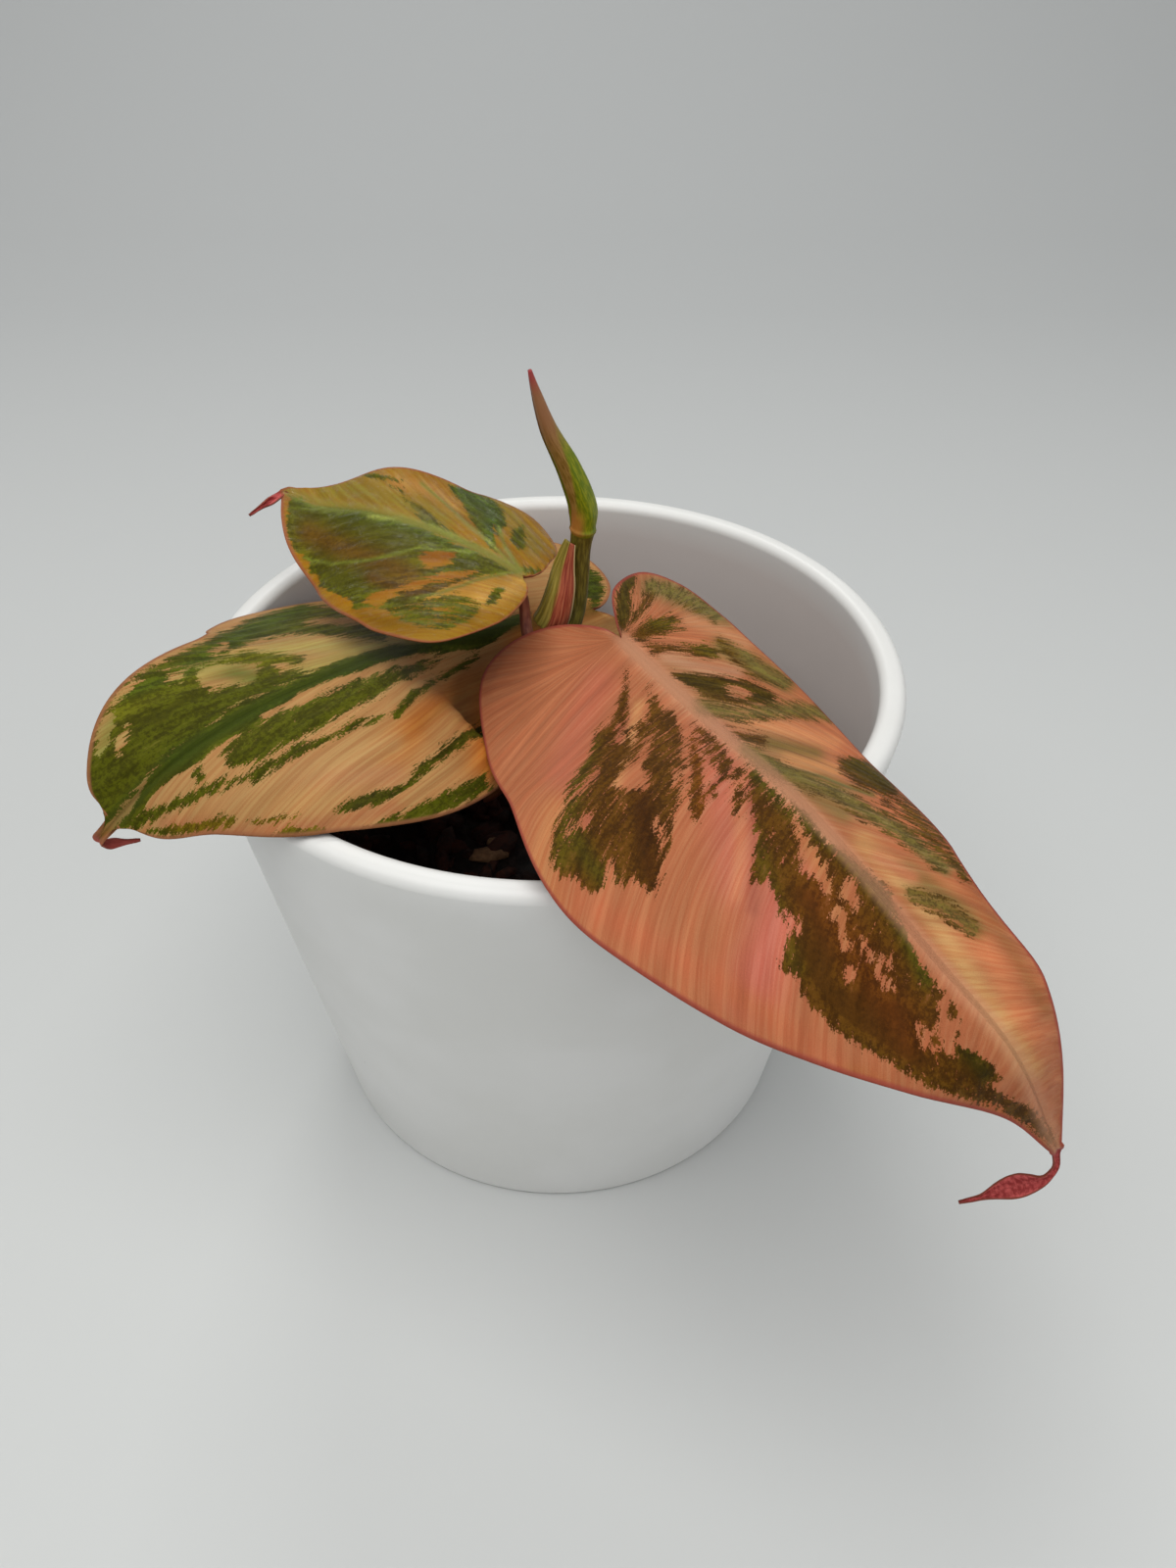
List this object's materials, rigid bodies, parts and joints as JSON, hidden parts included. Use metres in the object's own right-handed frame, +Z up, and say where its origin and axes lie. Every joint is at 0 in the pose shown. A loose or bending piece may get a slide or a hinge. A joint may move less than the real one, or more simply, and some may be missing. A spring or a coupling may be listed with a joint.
{
  "type": "potted variegated micans philodendron",
  "caption": "Young potted micans philodendron with variegated heart-shaped leaves and a rolled new leaf, in a plain tapered white cover pot.",
  "frame": {"origin": "middle of the pot's flat underside, on the pot's axis", "axes": "+Z up along the pot's axis, -Y towards the viewer of the picture, +X to the viewer's right"},
  "size_m": [0.1232, 0.1366, 0.1285],
  "materials": {
    "pot_glaze": "satin",
    "mix": "rough damp bark",
    "stem": "satin",
    "front_blade": "satin",
    "left_blade": "satin",
    "small_blade": "glossy",
    "rolled_blade": "satin",
    "sheath": "satin"
  },
  "bodies": {
    "root": {"pot": "pot_glaze", "potting_mix": "mix", "stem": "stem", "front_leaf": "front_blade", "left_leaf": "left_blade", "small_leaf": "small_blade", "new_leaf": "rolled_blade", "leaf_sheath": "sheath"}
  },
  "joints": []
}
